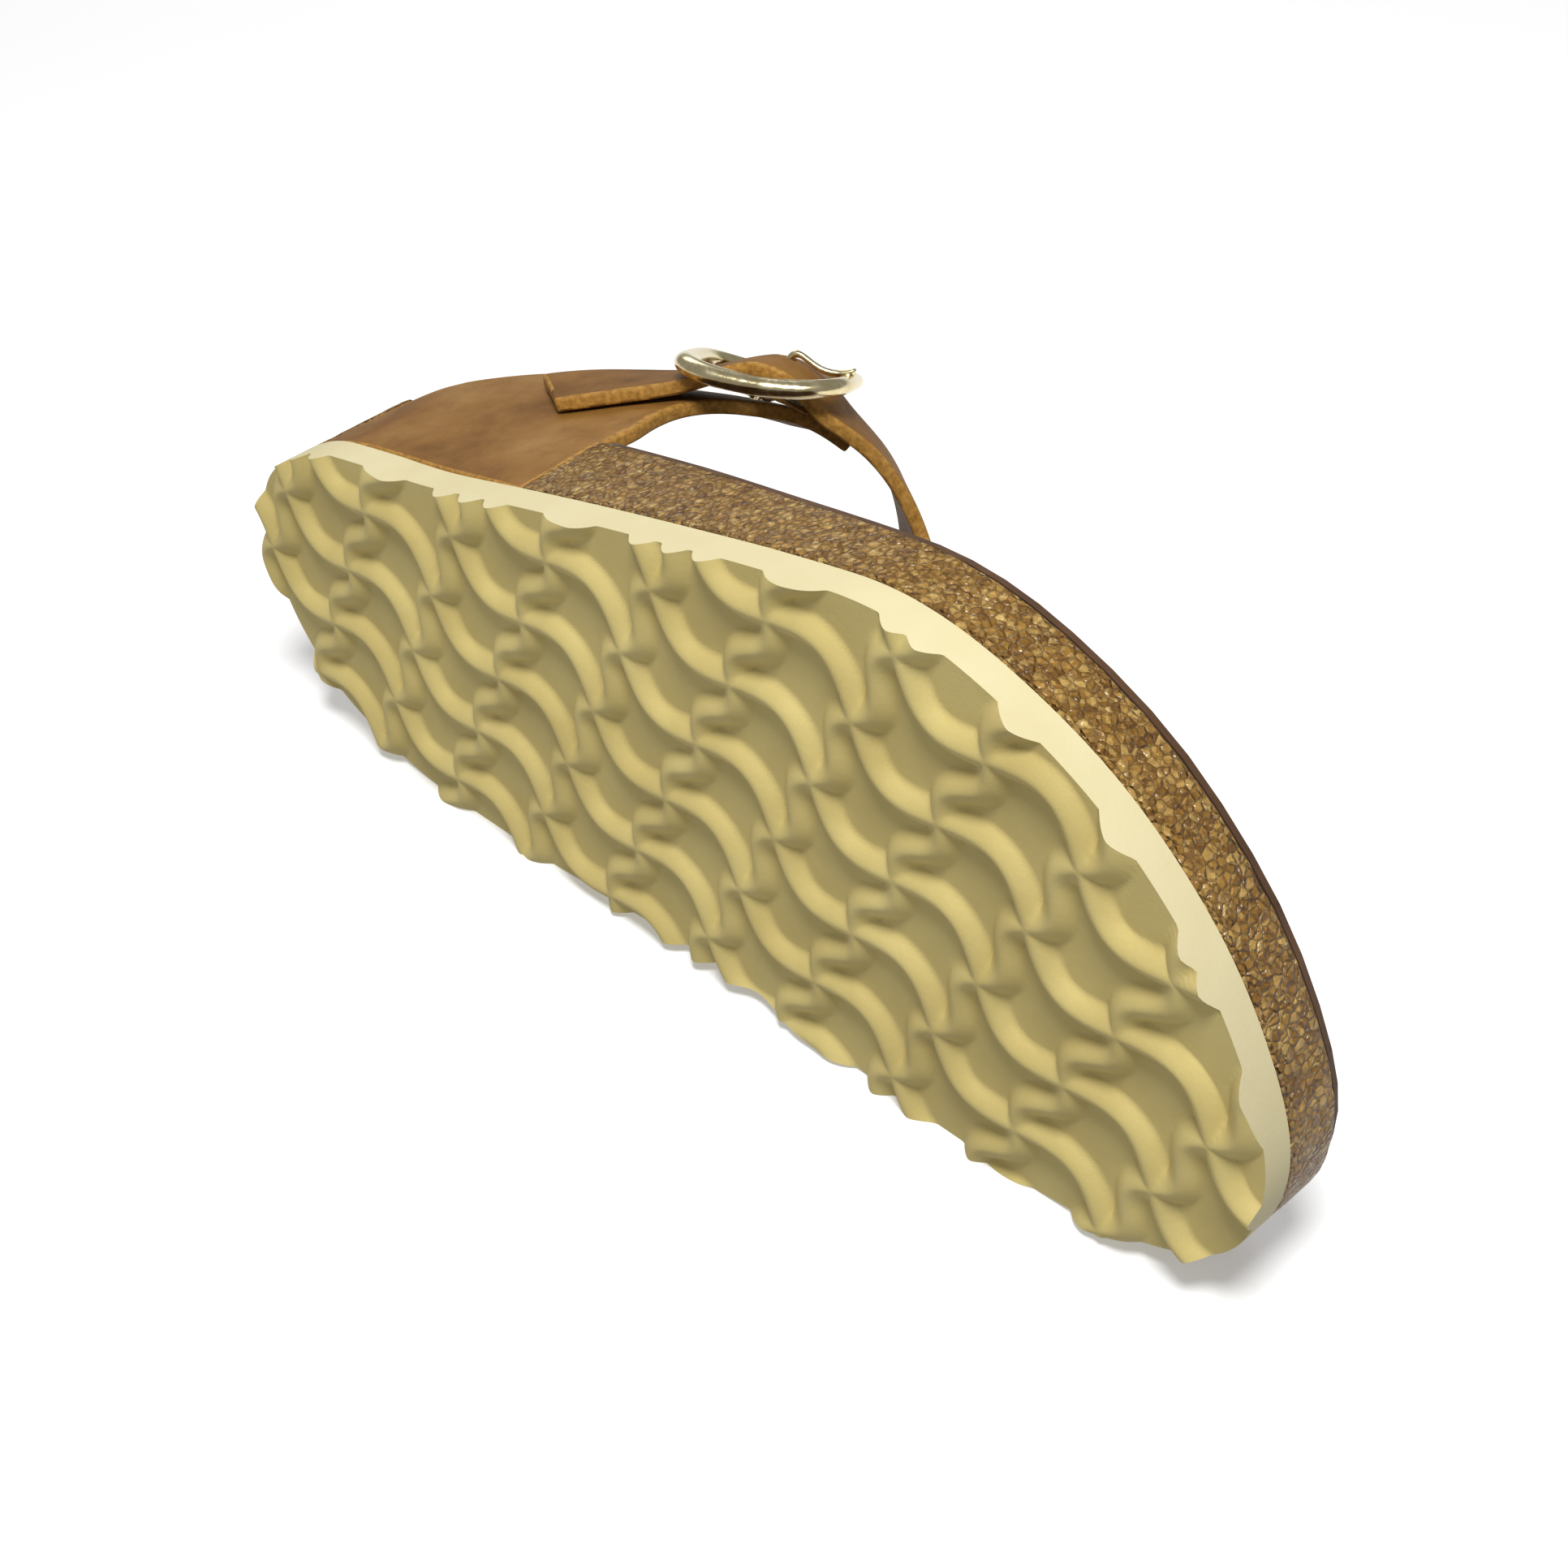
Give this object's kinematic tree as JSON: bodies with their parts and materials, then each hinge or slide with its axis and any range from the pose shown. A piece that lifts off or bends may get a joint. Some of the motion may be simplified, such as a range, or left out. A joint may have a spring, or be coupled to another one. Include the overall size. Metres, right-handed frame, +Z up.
{
  "type": "cork footbed thong sandal",
  "caption": "Right cork footbed sandal lying on its inner side: waved tread, leather straps with a thong to a toe post, and a buckle over the instep.",
  "frame": {"origin": "centre of the bounding box in X and Y, at the height of the floor that the shoe lies on", "axes": "+X from heel to toe, +Y from the tread up through the footbed to the straps, +Z up from the floor, which is the foot's outer side"},
  "size_m": [0.247, 0.081, 0.1007],
  "materials": {
    "eva_foam": "matt moulded foam",
    "cork": "cork granules with a thin glossy varnish",
    "suede": "brushed suede",
    "strap_leather": "oiled leather, satin",
    "buckle_brass": "pale polished brass"
  },
  "bodies": {
    "root": {"outsole": "eva_foam", "cork_footbed": "cork", "footbed_lining": "suede", "lateral_strap": "strap_leather", "main_strap": "strap_leather", "buckle_tab": "strap_leather", "buckle_frame": "buckle_brass", "buckle_prong": "buckle_brass"}
  },
  "joints": []
}
